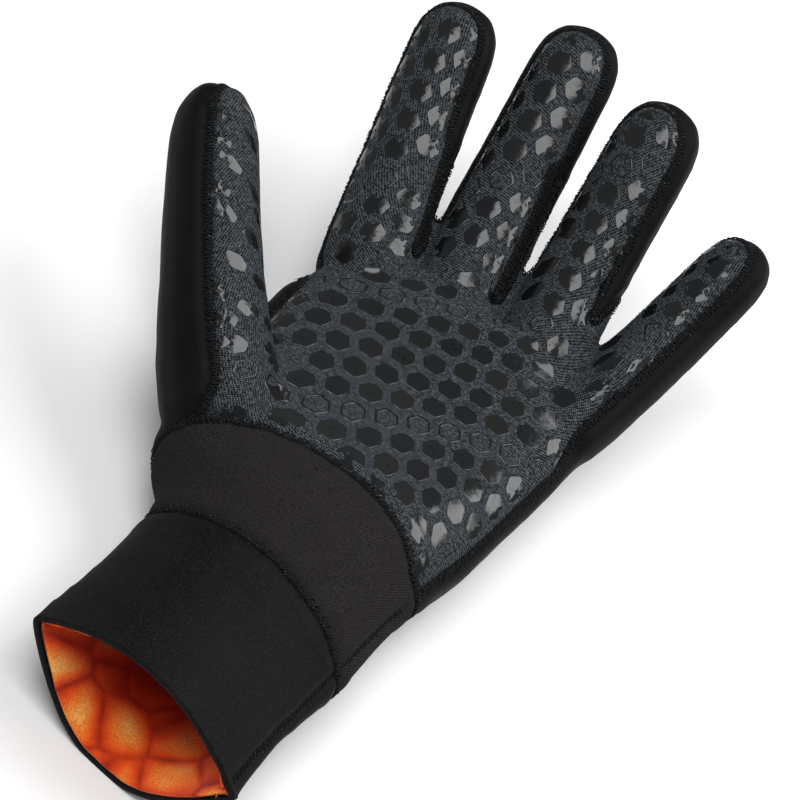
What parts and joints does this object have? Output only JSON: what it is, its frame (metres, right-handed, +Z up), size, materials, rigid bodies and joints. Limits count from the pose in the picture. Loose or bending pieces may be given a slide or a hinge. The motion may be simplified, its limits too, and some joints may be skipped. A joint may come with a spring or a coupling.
{
  "type": "diving glove",
  "caption": "Left foam-rubber diving glove with an open cuff, a wrist panel and a grip panel over palm and fingers, lying palm up.",
  "frame": {"origin": "on the surface that the glove lies on, under the middle of the wrist panel", "axes": "+Y from the cuff towards the fingertips, +Z up out of the palm, +X towards the little finger, the thumb on -X"},
  "size_m": [0.1755, 0.2918, 0.0882],
  "materials": {
    "grip_knit": "matt dark grey-blue knit with a rubbery printed grip",
    "smooth_foam": "smooth black foam rubber, slightly satin",
    "wrist_cloth": "fine matt charcoal twill over foam",
    "cuff_foam": "fine black jersey over foam",
    "lining_plush": "short orange plush with softly cushioned cells",
    "grip_print": "glossy raised rubber print",
    "seam_thread": "matt black overlocked thread"
  },
  "bodies": {
    "root": {"palm_panel": "grip_knit", "back_panel": "smooth_foam", "wrist_panel": "wrist_cloth", "cuff": "cuff_foam", "lining": "lining_plush"}
  },
  "joints": []
}
